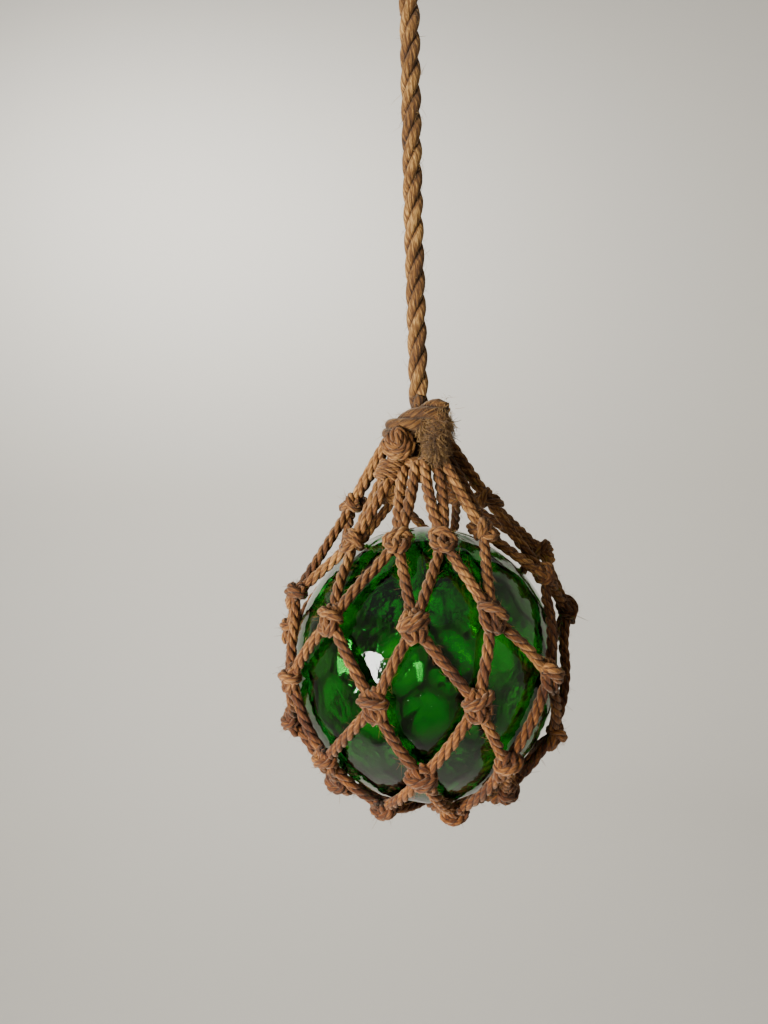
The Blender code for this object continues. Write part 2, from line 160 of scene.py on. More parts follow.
class CordMesh:
    # Collects strands as splines of one curve. Its mesh has a UV along and round each strand, and the
    # values shade and crest. Each spline's vertices follow each other ring by ring.
    def __init__(self, sides):
        self.sides = sides
        self.curve = bpy.data.curves.new("strands", "CURVE")
        self.curve.dimensions = "3D"
        self.curve.bevel_depth = 1.0
        # A round bevel has four sides and two more for each step of its resolution
        self.curve.bevel_resolution = (sides - 4) // 2
        self.counts, self.lengths, self.shades = [], [], []
        self.cores, self.wholes = [], []

    def sweep(self, route, radii, closed=False, shade=0.5, core=None, wholes=None):
        # core and wholes are the line and the half thickness of the cord that a strand belongs to
        spline = self.curve.splines.new("POLY")
        spline.points.add(len(route) - 1)
        spline.points.foreach_set("co", [c for p in route for c in (p.x, p.y, p.z, 1.0)])
        spline.points.foreach_set("radius", radii)
        spline.use_cyclic_u = closed
        self.counts.append(len(route))
        self.lengths.append(sum((q - p).length for p, q in zip(route, route[1:])))
        self.shades.append(shade)
        self.cores.extend(tuple(p) for p in core or route)
        self.wholes.extend(wholes or radii)

    def lay(self, route, cord, hand, sizes=None, closed=False, shade=0.5, phase=0.0):
        # Twists the strands of one cord round its line; hand is 1 for Z lay and -1 for S lay
        even, length = evenRoute(route, cord["step"], closed)
        tangents, across = frames(even, closed)
        count = len(even)
        turns = length / cord["pitch"]
        slip = 0.0
        if closed:
            end = across[-1]
            end = (end - tangents[0] * end.dot(tangents[0])).normalized()
            slip = math.atan2(tangents[0].dot(end.cross(across[0])), end.dot(across[0]))
            turns = max(1, round(turns))
        whole = cord["thick"] / 2
        strandRadius = whole * cord["fat"]
        offset = whole - strandRadius
        strands = cordLook["strands"]
        for k in range(strands):
            line, radii, wholes = [], [], []
            for i, point in enumerate(even):
                share = i / count if closed else i / (count - 1)
                size = 1.0 if sizes is None else sizes(share)
                angle = phase + 2 * math.pi * (k / strands + hand * turns * share) + slip * share
                out = across[i] * math.cos(angle) + tangents[i].cross(across[i]) * math.sin(angle)
                line.append(point + out * (offset * size))
                radii.append(strandRadius * size * random.uniform(*cordLook["uneven"]))
                wholes.append(whole * size)
            tone = shade + random.uniform(-cordLook["shadeSpread"], cordLook["shadeSpread"])
            self.sweep(line, radii, closed, tone, even, wholes)

    def finish(self, name, material):
        maker = bpy.data.objects.new("maker", self.curve)
        bpy.context.scene.collection.objects.link(maker)
        bpy.context.view_layer.update()
        data = bpy.data.meshes.new_from_object(maker.evaluated_get(bpy.context.evaluated_depsgraph_get()))
        data.name = name
        bpy.data.objects.remove(maker)
        bpy.data.curves.remove(self.curve)
        strandOf = np.repeat(np.arange(len(self.counts)), np.array(self.counts) * self.sides)
        corner = np.zeros(len(data.loops), np.int32)
        data.loops.foreach_get("vertex_index", corner)
        uv = np.zeros(len(data.loops) * 2, np.float32)
        data.uv_layers[0].uv.foreach_get("vector", uv)
        uv = uv.reshape(-1, 2)
        starts = np.array([random.uniform(*cordLook["uvStart"]) for length in self.lengths])
        alongs = np.array(self.lengths) * cordLook["uvPerMetre"]
        uv[:, 0] = uv[:, 0] * alongs[strandOf[corner]] + starts[strandOf[corner]]
        data.uv_layers[0].uv.foreach_set("vector", uv.ravel())
        shade = data.attributes.new("shade", "FLOAT", "POINT")
        shade.data.foreach_set("value", np.array(self.shades, np.float32)[strandOf])
        # How far a point stands out of its cord: 1 on a strand's back, about 0.6 where two strands meet.
        # The materials paint shade into these grooves from it.
        places = np.zeros(len(data.vertices) * 3, np.float32)
        data.vertices.foreach_get("co", places)
        away = places.reshape(-1, 3) - np.repeat(np.array(self.cores, np.float32), self.sides, axis=0)
        crest = data.attributes.new("crest", "FLOAT", "POINT")
        crest.data.foreach_set("value", np.linalg.norm(away, axis=1) / np.repeat(self.wholes, self.sides))
        mesh = bmesh.new()
        mesh.from_mesh(data)
        bmesh.ops.holes_fill(mesh, edges=[e for e in mesh.edges if e.is_boundary], sides=self.sides)
        bmesh.ops.recalc_face_normals(mesh, faces=mesh.faces)
        bmesh.ops.triangulate(mesh, faces=[f for f in mesh.faces if len(f.verts) > 4])
        for face in mesh.faces:
            face.smooth = True
        mesh.to_mesh(data)
        mesh.free()
        data.materials.clear()
        data.materials.append(material)
        obj = bpy.data.objects.new(name, data)
        bpy.context.scene.collection.objects.link(obj)
        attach(obj, "root")
        print(name, "has", sum(len(p.vertices) - 2 for p in data.polygons), "triangles")
        return obj


# Node helpers; the colour sockets of a Mix node have these numbers
mixSockets = {"factor": 0, "first": 6, "second": 7, "result": 2}


def newMaterial(name):
    material = bpy.data.materials.new(name)
    material.use_nodes = True
    tree = material.node_tree
    return material, tree, tree.nodes["Principled BSDF"]


def addNode(tree, kind, place, **values):
    # Each value is a property of the node or else one of its sockets
    node = tree.nodes.new(kind)
    node.location = place
    for key, value in values.items():
        if hasattr(node, key):
            setattr(node, key, value)
        else:
            node.inputs[key.replace("_", " ")].default_value = value
    return node


def feed(tree, socket, value):
    # A socket takes a plain value or a link from another socket
    if isinstance(value, bpy.types.NodeSocket):
        tree.links.new(value, socket)
    else:
        socket.default_value = value


def mathNode(tree, place, operation, *values):
    node = addNode(tree, "ShaderNodeMath", place, operation=operation)
    for socket, value in zip(node.inputs, values):
        feed(tree, socket, value)
    return node.outputs[0]


def noiseNode(tree, place, vector, look):
    scale, detail, roughness = look
    node = addNode(tree, "ShaderNodeTexNoise", place, Scale=scale, Detail=detail, Roughness=roughness)
    tree.links.new(vector, node.inputs["Vector"])
    return node.outputs["Fac"]


def rangeNode(tree, place, value, spans):
    node = addNode(tree, "ShaderNodeMapRange", place)
    for name, span in zip(("From Min", "From Max", "To Min", "To Max"), spans):
        node.inputs[name].default_value = span
    tree.links.new(value, node.inputs["Value"])
    return node.outputs[0]


def bumpNode(tree, place, height, look, normal=None):
    strength, distance = look
    node = addNode(tree, "ShaderNodeBump", place, Strength=strength, Distance=distance)
    tree.links.new(height, node.inputs["Height"])
    if normal is not None:
        tree.links.new(normal, node.inputs["Normal"])
    return node.outputs["Normal"]


def mixNode(tree, place, blend, factor, first, second):
    node = addNode(tree, "ShaderNodeMix", place, data_type="RGBA", blend_type=blend)
    for name, value in (("factor", factor), ("first", first), ("second", second)):
        feed(tree, node.inputs[mixSockets[name]], value)
    return node.outputs[mixSockets["result"]]


def ramp(tree, place, factor, stops):
    node = addNode(tree, "ShaderNodeValToRGB", place)
    elements = node.color_ramp.elements
    while len(elements) < len(stops):
        elements.new(0.5)
    for element, (where, colour) in zip(elements, stops):
        element.position = where
        element.color = (*colour, 1.0)
    tree.links.new(factor, node.inputs["Fac"])
    return node.outputs["Color"]


# Hard-fibre yarn. Each noise is its scale, detail and roughness; the last entry is the crest's span and
# the tone that it adds at both ends, painted shade that darkens the grooves between strands.
yarn = {
    "fibreStretch": (2.2, 26.0),
    "fibreNoise": (1.0, 5.0, 0.62),
    "patchNoise": (46.0, 3.0, 0.55),
    "hairNoise": (900.0, 2.0, 0.6),
    "fibreTone": 1.7,
    "yarnTone": 0.09,
    "patchTone": 0.8,
    "yarnHeight": 0.16,
    "grooveShade": (0.56, 0.86, -1.60, -1.19),
}


def fibreGroup():
    # Follows the UV of a strand: u runs along it in centimetres, v round it
    group = bpy.data.node_groups.new("fibre yarn", "ShaderNodeTree")
    for name in ("Yarns", "Slant", "Shade", "Crest"):
        group.interface.new_socket(name, in_out="INPUT", socket_type="NodeSocketFloat")
    for name in ("Tone", "Height", "Hair", "Patches"):
        group.interface.new_socket(name, in_out="OUTPUT", socket_type="NodeSocketFloat")
    start = addNode(group, "NodeGroupInput", (-1400, 0))
    end = addNode(group, "NodeGroupOutput", (800, 0))
    uv = addNode(group, "ShaderNodeUVMap", (-1400, 300), uv_map="UVMap")
    split = addNode(group, "ShaderNodeSeparateXYZ", (-1200, 300))
    group.links.new(uv.outputs["UV"], split.inputs[0])
    along, across = split.outputs["X"], split.outputs["Y"]
    # Yarns twist across the strand
    lean = mathNode(group, (-1000, 300), "MULTIPLY_ADD", along, start.outputs["Slant"], across)
    turns = mathNode(group, (-800, 300), "MULTIPLY", lean, start.outputs["Yarns"])
    angle = mathNode(group, (-620, 300), "MULTIPLY", turns, 2 * math.pi)
    wave = mathNode(group, (-440, 300), "SINE", angle)
    # Fibres: noise pulled long in the yarns' direction
    stretchAlong, stretchAcross = yarn["fibreStretch"]
    fibreSpace = addNode(group, "ShaderNodeCombineXYZ", (-620, 60))
    feed(group, fibreSpace.inputs["X"], mathNode(group, (-800, 60), "MULTIPLY", along, stretchAlong))
    feed(group, fibreSpace.inputs["Y"], mathNode(group, (-800, -100), "MULTIPLY", lean, stretchAcross))
    fibres = noiseNode(group, (-420, 60), fibreSpace.outputs[0], yarn["fibreNoise"])
    place = addNode(group, "ShaderNodeTexCoord", (-1000, -320)).outputs["Object"]
    patches = noiseNode(group, (-420, -220), place, yarn["patchNoise"])
    hairs = noiseNode(group, (-420, -460), place, yarn["hairNoise"])
    # Tone: fibres, yarns and patches, then the strand's own shade and painted shade in its grooves
    yarns = mathNode(group, (-180, 200), "MULTIPLY", wave, yarn["yarnTone"])
    tone = mathNode(group, (-180, 0), "MULTIPLY_ADD", fibres, yarn["fibreTone"], yarns)
    tone = mathNode(group, (20, 0), "MULTIPLY_ADD", patches, yarn["patchTone"], tone)
    tone = mathNode(group, (200, 0), "ADD", tone, start.outputs["Shade"])
    # Painted shade: the tone drops where the crest is low, in the grooves between strands
    grooveShade = rangeNode(group, (200, -200), start.outputs["Crest"], yarn["grooveShade"])
    tone = mathNode(group, (400, 0), "ADD", tone, grooveShade)
    height = mathNode(group, (200, 260), "MULTIPLY_ADD", wave, yarn["yarnHeight"], fibres)
    for name, value in (("Tone", tone), ("Height", height), ("Hair", hairs), ("Patches", patches)):
        group.links.new(value, end.inputs[name])
    return group


yarnGroup = fibreGroup()

# Redder low on the ball, more golden towards the head: heights in metres and the shift at both ends
cast = {
    "span": (-0.47, -0.33, -0.35, 0.45),
    "colours": [(0.2, (0.70, 0.49, 0.25)), (0.85, (1.0, 0.98, 0.90))],
}
twineLook = {
    "colours": [(0.05, (0.008, 0.0018, 0.0003)), (0.33, (0.046, 0.0135, 0.0020)),
                (0.58, (0.118, 0.041, 0.0068)), (0.95, (0.42, 0.215, 0.062))],
    "yarns": 4.0,
    "slant": -0.5,
    "roughness": 0.8,
}
ropeLook = {
    "colours": [(0.05, (0.009, 0.0025, 0.0004)), (0.33, (0.051, 0.0185, 0.0031)),
                (0.58, (0.130, 0.055, 0.0103)), (0.95, (0.43, 0.25, 0.078))],
    "yarns": 6.0,
    "slant": 0.35,
    "roughness": 0.75,
}
cordFinish = {
    "relief": (0.9, 0.0006),
    "fineRelief": (0.405, 0.0003),
    "specular": 0.25,
    "sheen": 0.25,
    "sheenRoughness": 0.5,
    "sheenTint": (0.9, 0.7, 0.5, 1.0),
}


def cordMaterial(title, look):
    material, tree, shader = newMaterial(title)
    fibre = addNode(tree, "ShaderNodeGroup", (-700, 0), node_tree=yarnGroup)
    fibre.inputs["Yarns"].default_value = look["yarns"]
    fibre.inputs["Slant"].default_value = look["slant"]
    for attribute, socket, row in (("shade", "Shade", 0), ("crest", "Crest", -200)):
        value = addNode(tree, "ShaderNodeAttribute", (-900, row), attribute_name=attribute)
        tree.links.new(value.outputs["Fac"], fibre.inputs[socket])
    tint = ramp(tree, (-450, 100), fibre.outputs["Tone"], look["colours"])
    place = addNode(tree, "ShaderNodeTexCoord", (-1100, 400))
    split = addNode(tree, "ShaderNodeSeparateXYZ", (-900, 400))
    tree.links.new(place.outputs["Object"], split.inputs[0])
    height = rangeNode(tree, (-700, 400), split.outputs["Z"], cast["span"])
    mixed = mathNode(tree, (-520, 400), "ADD", height, fibre.outputs["Patches"])
    mixed.node.use_clamp = True
    warmth = ramp(tree, (-340, 400), mixed, cast["colours"])
    tree.links.new(mixNode(tree, (-150, 250), "MULTIPLY", 1.0, tint, warmth), shader.inputs["Base Color"])
    relief = bumpNode(tree, (-300, -250), fibre.outputs["Height"], cordFinish["relief"])
    fine = bumpNode(tree, (-120, -300), fibre.outputs["Hair"], cordFinish["fineRelief"], relief)
    tree.links.new(fine, shader.inputs["Normal"])
    shader.inputs["Roughness"].default_value = look["roughness"]
    shader.inputs["Specular IOR Level"].default_value = cordFinish["specular"]
    shader.inputs["Sheen Weight"].default_value = cordFinish["sheen"]
    shader.inputs["Sheen Roughness"].default_value = cordFinish["sheenRoughness"]
    shader.inputs["Sheen Tint"].default_value = cordFinish["sheenTint"]
    return material


twineMaterial = cordMaterial("net twine", twineLook)
ropeMaterial = cordMaterial("hanging rope", ropeLook)

# The rope's eye. Its crotch points are in rope thicknesses across and splices down from the crotch, its
# bow points in half widths across and heights down from the hook, and its tucks up from the foot and out.
eye = {
    "width": 0.026,
    "height": 0.038,
    "crotch": [(0.1, 0.35), (0.42, 0.1)],
    "bow": [(0.8, 0.68), (1.0, 0.3), (0.72, 0.0)],
    "steps": 6,
    "spliceShares": [0.0, 0.25, 0.55, 0.85, 1.05],
    "spliceSizes": [1.0, 1.18, 1.35, 1.35, 1.1],
    "tuck": [(0.020, 0.0052), (0.013, 0.0066), (0.007, 0.0062), (0.004, 0.0066)],
    "tuckRadius": 0.0021,
    "tuckTurn": 0.5,
    "tuckSteps": 3,
}
centre = ball["centre"]
random.seed(3)


def makeEye():
    thick = rope["thick"]
    half = (eye["width"] + thick) / 2
    right = [Vector((thick * x, 0, -eye["height"] - heights["splice"] * z)) for x, z in eye["crotch"]]
    right += [Vector((half * x, 0, -eye["height"] * z)) for x, z in eye["bow"]]
    left = [Vector((-p.x, 0, p.z)) for p in reversed(right)]
    cords = CordMesh(rope["sides"])
    loop = smoothRoute(right + [Vector((0, 0, thick / 2))] + left, eye["steps"])
    cords.lay(loop, rope, 1, phase=0.4)
    foot = -eye["height"] - heights["splice"]
    stem = [Vector((0, 0, foot + heights["splice"] * share)) for share in eye["spliceShares"]]
    sizes = between(eye["spliceSizes"])
    cords.lay(smoothRoute(stem, eye["steps"]), rope, 1, sizes=sizes, phase=1.2, shade=0.47)
    # Tucked strand ends stand a little off the splice
    for k in range(cordLook["strands"]):
        angle = 2 * math.pi * k / cordLook["strands"] + eye["tuckTurn"]
        out = Vector((math.cos(angle), math.sin(angle), 0))
        tuck = [Vector((0, 0, foot + rise)) + out * away for rise, away in eye["tuck"]]
        tuck = smoothRoute(tuck, eye["tuckSteps"])
        cords.sweep(tuck, [eye["tuckRadius"]] * len(tuck), shade=0.56)
    piece = cords.finish("rope_eye_strands", ropeMaterial)
    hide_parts("rope_eye")
    return piece


# The taut rope sways aside by well under a millimetre
run = {
    "shares": [0.0, 0.25, 0.5, 0.75, 1.0],
    "sways": [0.0, -0.0003, -0.0006, -0.0003, 0.0],
    "steps": 2,
}


def ropeRoute():
    foot = heights["knotTop"] + heights["room"]
    points = []
    for share, sway in zip(run["shares"], run["sways"]):
        points.append(centre + Vector((sway, 0, foot + heights["ropeRun"] * share)))
    return smoothRoute(points, run["steps"])


def makeRope(eyePiece):
    cords = CordMesh(rope["sides"])
    route = ropeRoute()
    cords.lay(route, rope, 1, phase=0.2)
    strands = cords.finish("rope_strands", ropeMaterial)
    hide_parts("hanging_rope")


makeRope(makeEye())

# The net. A knot's place is its azimuth and latitude in degrees and its distance from the glass in
# twines; the gather's points are in twines from the gather's middle.
net = {
    "knotRows": [
        [(-59, 59, 1.2), (-17, 60, 1.5), (14, 60, 1.5), (49, 61, 1.9),
         (100, 67, 3.6), (146, 67, 3.7), (204, 67, 3.7), (252, 65, 3.7)],
        [(-41, 27.5, 0.9), (-4, 27.5, 0.9), (28, 29, 0.9), (80, 36, 1.4),
         (113, 36, 3.5), (164, 38, 1.2), (230, 38, 1.2), (282, 31, 1.4)],
        [(-18, 0, 0.9), (18, 0, 0.9), (52, 4, 0.9), (95, 18, 1.9),
         (142, 18, 1.0), (193, 19, 1.0), (260, 12, 1.2), (297, 1, 0.9)],
        [(-2, -28.5, 0.9), (33, -27, 0.9), (73, -27, 1.0), (118, -17, 0.9),
         (166, -14, 0.9), (222, -14, 0.9), (278, -22, 1.2), (312, -28.5, 0.9)],
        [(21, -62, 0.9), (53, -51, 0.9), (96, -45, 0.9), (142, -40, 0.9),
         (193, -38, 0.9), (248, -41, 0.9), (300, -47, 0.9), (328, -57, 0.9)],
    ],
    "gather": [(-1.9, -1.3, 0.4), (-0.9, -1.8, -0.5), (0.8, -1.7, -0.3), (2.0, -0.9, 0.3),
               (2.4, 0.4, 1.4), (0.9, 1.6, 1.6), (-1.1, 1.6, 2.0), (-2.4, 0.2, 2.2)],
    "gatherRise": 0.0390,
    "gatherThickness": 1.2,
    "ringWidth": 0.032,
    "ringGap": 0.0007,
    "loopSteps": 4,
    "legSteps": 14,
    "legGap": 0.0010,
    "legSag": (-0.0007, 0.0007),
    "legShort": 0.35,
    "legShade": (0.40, 0.60),
    "legPhase": (0, 6),
    "pairSpread": 0.55,
    "pairBow": 0.0016,
    "pairThickness": 1.12,
}
gatherMiddle = Vector((0, 0, ball["height"] / 2 + net["gatherRise"]))


def toward(azimuth, latitude):
    a = math.radians(azimuth)
    b = math.radians(latitude)
    return Vector((math.sin(a) * math.cos(b), -math.cos(a) * math.cos(b), math.sin(b)))


def ballRadius(direction):
    wide = math.hypot(direction.x, direction.y) / (ball["width"] / 2)
    return 1 / math.hypot(wide, direction.z / (ball["height"] / 2))


def knotPlace(knot):
    azimuth, latitude, away = knot
    direction = toward(azimuth, latitude)
    return direction * (ballRadius(direction) + away * twine["thick"])


def laid(point, stand):
    # Keeps a point of a twine's line off the glass
    direction = point.normalized()
    return direction * max(point.length, ballRadius(direction) + stand)


def legRoute(start, end, side, sag):
    route = []
    for i in range(net["legSteps"] + 1):
        t = i / net["legSteps"]
        point = start.lerp(end, t) + side * (math.sin(math.pi * t) * sag)
        route.append(laid(point, twine["thick"] / 2 + net["legGap"]))
    return route


def bottomRing():
    # One point of the closing ring below each two neighbours of the last row
    down = toward(ball["sealAzimuth"], ball["sealLatitude"])
    side = Vector((1, 0, 0))
    front = down.cross(side)
    last = net["knotRows"][-1]
    places = []
    for i in range(len(last)):
        after = last[(i + 1) % len(last)][0]
        turn = math.radians((last[i][0] + after) / 2)
        if after < last[i][0]:
            turn += math.pi
        around = side * math.sin(turn) + front * math.cos(turn)
        direction = (down * (ball["height"] / 2) + around * (net["ringWidth"] / 2)).normalized()
        places.append(direction * (ballRadius(direction) + twine["thick"] / 2 + net["ringGap"]))
    return places


# One net knot, in twines from its middle: to the right, up and off the glass. Every other knot is
# turned round, and every third has one more turn across its front.
knot = {
    "lean": 22.0,
    "leanTurn": 2.4,
    "jitter": 0.07,
    "clear": 0.42,
    "gap": 0.0003,
    "tone": (0.38, 0.56),
    "cord": dict(twine, step=0.0018, fat=0.55),
    "size": 0.92,
    "steps": 4,
    "lobe": [(-0.15, 1.2, -0.1), (-0.58, 0.75, -0.1), (-0.70, 0.0, 0.05), (-0.56, -0.85, 0.12),
             (-0.2, -1.15, 0.12), (0.0, -0.7, 0.30), (0.0, 0.1, 0.32), (0.1, 0.8, 0.1), (0.25, 1.15, -0.15)],
    "otherLobe": [(0.3, 1.15, -0.2), (0.62, 0.7, -0.1), (0.74, 0.0, 0.02), (0.58, -0.8, 0.1),
                  (0.28, -1.1, 0.05), (0.06, -0.6, -0.1), (0.05, 0.2, -0.2)],
    "collarPoints": 10,
    "collarSteps": 3,
    "collarWidth": 0.94,
    "collarRise": 0.36,
    "collarSlant": 0.34,
    "collarStand": 0.08,
    "collarDepth": 0.62,
    "core": [(0, 0.8, -0.1), (0, 0.3, 0), (0, -0.3, 0), (0, -0.8, -0.1)],
    "wrap": [(-0.9, 0.0, -0.1), (-0.5, -0.2, 0.55), (0.2, -0.1, 0.7), (0.8, 0.2, 0.3), (0.95, 0.35, -0.1)],
    "wrapEvery": 3,
}


def knotAxes(place, number):
    outward = place.normalized()
    up = (Vector((0, 0, 1)) - outward * outward.z).normalized()
    lean = math.radians(knot["lean"]) * math.sin(knot["leanTurn"] * number)
    up = Quaternion(outward, lean) @ up
    return up.cross(outward), up, outward


def knotStrands(cords, place, number):
    right, up, outward = knotAxes(place, number)
    size = twine["thick"]
    tone = random.uniform(*knot["tone"])
    flip = 1 if number % 2 else -1

    def at(x, y, z):
        jitter = [random.uniform(-knot["jitter"], knot["jitter"]) for axis in range(3)]
        moved = right * (x * flip + jitter[0]) + up * (y + jitter[1]) + outward * (z + jitter[2])
        return centre + laid(place + moved * size, size * knot["clear"] + knot["gap"])

    def tie(route, lighter, phase, closed=False):
        cords.lay(route, knot["cord"], -1, sizes=lambda share: knot["size"], closed=closed,
                  shade=tone + lighter, phase=phase)

    tie(smoothRoute([at(*p) for p in knot["lobe"]], knot["steps"]), 0, number)
    tie(smoothRoute([at(*p) for p in knot["otherLobe"]], knot["steps"]), 0.03, number + 1)
    collar = []
    for i in range(knot["collarPoints"]):
        turn = 2 * math.pi * i / knot["collarPoints"]
        x = knot["collarWidth"] * math.sin(turn)
        rise = knot["collarRise"] + knot["collarSlant"] * x
        collar.append(at(x, rise, knot["collarStand"] + knot["collarDepth"] * math.cos(turn)))
    tie(loopRoute(collar, knot["collarSteps"]), 0.05, number + 2, closed=True)
    # A yarn through the middle closes the knot; its dark tone is painted shade deep inside the knot
    core = [at(*p) for p in knot["core"]]
    cords.sweep(core, [size * knot["clear"]] * len(core), shade=0.15)
    if number % knot["wrapEvery"] == 0:
        tie(smoothRoute([at(*p) for p in knot["wrap"]], knot["steps"]), 0, number)


# The twine's end, in twines from the gather's middle. Each fold of the stopper knot is its thickness,
# shade and points; the folds are drawn together towards the top. The turns bind one pair of legs.
stopper = {
    "middle": (-1.85, -2.5, 1.2),
    "shrink": 0.80,
    "drawnTop": 1.05,
    "hungTop": 1.25,
    "phasePerMetre": 900,
    "cord": dict(twine, step=0.0014, pitch=0.016),
    "steps": 4,
    "folds": [
        (0.0048, 0.50, [(-0.55, -0.55, -0.2), (-0.55, -0.55, 0.45), (-0.05, -0.55, 1.05), (0.5, -0.55, 0.5),
                        (0.55, -0.55, -0.2), (0.25, -0.55, -0.65), (-0.25, -0.55, -0.65),
                        (-0.55, -0.55, -0.2)]),
        (0.0046, 0.58, [(0.0, -0.5, 0.95), (0.05, -0.95, 0.25), (0.0, -0.9, -0.45)]),
        (0.0052, 0.46, [(-1.0, -0.1, 0.5), (-1.05, -0.3, -0.4), (-0.6, -0.55, -1.05), (0.15, -0.6, -1.25),
                        (0.8, -0.4, -0.9), (1.1, -0.1, -0.1), (0.85, 0.1, 0.7)]),
        (0.0052, 0.54, [(-1.6, 0.2, -0.3), (-1.25, -0.1, -1.3), (-0.5, -0.35, -1.85), (0.4, -0.35, -1.8),
                        (1.15, -0.1, -1.2), (1.5, 0.2, -0.5)]),
        (0.0056, 0.38, [(-0.6, 0.5, 0.6), (0.0, 0.6, 0.1), (0.4, 0.5, -0.6), (-0.3, 0.4, -0.8)]),
    ],
}
binding = {
    "points": 46,
    "perTurn": 11,
    "from": 0.69,
    "over": 0.19,
    "radius": 0.95,
    "cord": dict(twine, thick=0.0038, step=0.0014, pitch=0.012),
}


def twineEnd(cords, foot, head):
    middle = centre + gatherMiddle + Vector(stopper["middle"]) * twine["thick"]
    for thick, tone, points in stopper["folds"]:
        folded = []
        for x, y, z in points:
            rise = stopper["hungTop"] - (stopper["drawnTop"] - z) * stopper["shrink"]
            folded.append(middle + Vector((x * stopper["shrink"], y, rise)) * twine["thick"])
        cords.lay(smoothRoute(folded, stopper["steps"]), dict(stopper["cord"], thick=thick), -1,
                  shade=tone, phase=thick * stopper["phasePerMetre"])
    along = (head - foot).normalized()
    side = along.cross(Vector((0, 1, 0))).normalized()
    front = along.cross(side)
    turns = []
    for i in range(binding["points"]):
        turn = 2 * math.pi * i / binding["perTurn"]
        share = binding["from"] + binding["over"] * i / (binding["points"] - 1)
        around = side * math.sin(turn) + front * math.cos(turn)
        turns.append(centre + foot.lerp(head, share) + around * twine["thick"] * binding["radius"])
    cords.lay(turns, binding["cord"], -1, shade=0.52)


def makeNet():
    random.seed(11)
    rows = [[knotPlace(k) for k in row] for row in net["knotRows"]]
    places = [p for row in rows for p in row]
    gather = [gatherMiddle + Vector(p) * twine["thick"] for p in net["gather"]]
    ring = bottomRing()
    count = len(ring)
    routes = []
    legs = CordMesh(twine["sides"])

    def leg(start, end, bow=0.0, thickness=1.0):
        side = (end - start).normalized().cross(start.normalized())
        route = legRoute(start, end, side, bow + random.uniform(*net["legSag"]))
        routes.append([centre + p for p in route])
        legs.lay(routes[-1], dict(twine, thick=twine["thick"] * thickness), -1,
                 shade=random.uniform(*net["legShade"]), phase=random.uniform(*net["legPhase"]))

    def band(points, cord):
        # A closed turn of twine through the points, whose two ends overlap
        line = loopRoute(points[1:] + points[:1], net["loopSteps"])
        legs.lay([centre + p for p in line + line[:2]], cord, -1)

    for upper, lower in zip(rows, rows[1:]):
        for i in range(count):
            for start in (upper[i], upper[(i + 1) % count]):
                away = (lower[i] - start).normalized() * twine["thick"] * net["legShort"]
                leg(start + away, lower[i] - away)
    for i in range(count):
        aside = gather[i].cross(Vector((0, 0, 1))).normalized()
        for hand in (-1, 1):
            top = gather[i] + aside * (hand * net["pairSpread"] * twine["thick"])
            leg(rows[0][i], top, -hand * net["pairBow"], net["pairThickness"])
        for start in (rows[-1][i], rows[-1][(i + 1) % count]):
            leg(start, ring[i])
    band(ring, twine)
    band(gather, dict(twine, thick=twine["thick"] * net["gatherThickness"]))
    legsPiece = legs.finish("net_legs", twineMaterial)
    knots = CordMesh(twine["sides"])
    for number, place in enumerate(places):
        knotStrands(knots, place, number)
    twineEnd(knots, rows[0][0], gather[0])
    knotsPiece = knots.finish("net_knots", twineMaterial)
    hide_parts("net")
    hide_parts("net")
    return routes, places


legLines, knotPlaces = makeNet()

# The head knot, in rope thicknesses from its top: the rope's hitch over the gather
hitch = {
    "stem": [(0.0, 0.0, 0.0), (0.0, 0.05, -1.1), (0.05, 0.1, -2.2), (0.0, 0.0, -3.0), (0.0, 0.0, -3.7),
             (0.0, 0.0, -4.2)],
    "stemSizes": [1.0, 1.0, 0.95, 0.95, 1.5, 0.9],
    "stemPhase": 0.847,
    "turn": [(0.1, 0.35, -1.7), (-0.7, 0.75, -1.85), (-1.35, 0.15, -1.75), (-1.2, -0.7, -1.55),
             (-0.4, -1.12, -1.25), (0.5, -1.1, -0.85), (1.42, -0.95, -0.58)],
    "turnSizes": [0.8, 0.9, 1.0, 1.0, 1.0, 1.05, 1.1, 1.15, 1.15, 1.15, 1.15, 1.1, 0.45],
    "turnPhase": 0.9,
    "shade": 0.31,
    "steps": 6,
}
headTop = centre + Vector((0, 0, heights["knotTop"]))


def headLine(points):
    return smoothRoute([headTop + Vector(p) * rope["thick"] for p in points], hitch["steps"])


def makeHitch():
    random.seed(5)
    cords = CordMesh(rope["sides"])
    for part in ("stem", "turn"):
        cords.lay(headLine(hitch[part]), rope, 1, sizes=between(hitch[part + "Sizes"]),
                  shade=hitch["shade"], phase=hitch[part + "Phase"])
    piece = cords.finish("head_knot_strands", ropeMaterial)
    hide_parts("head_knot")


makeHitch()

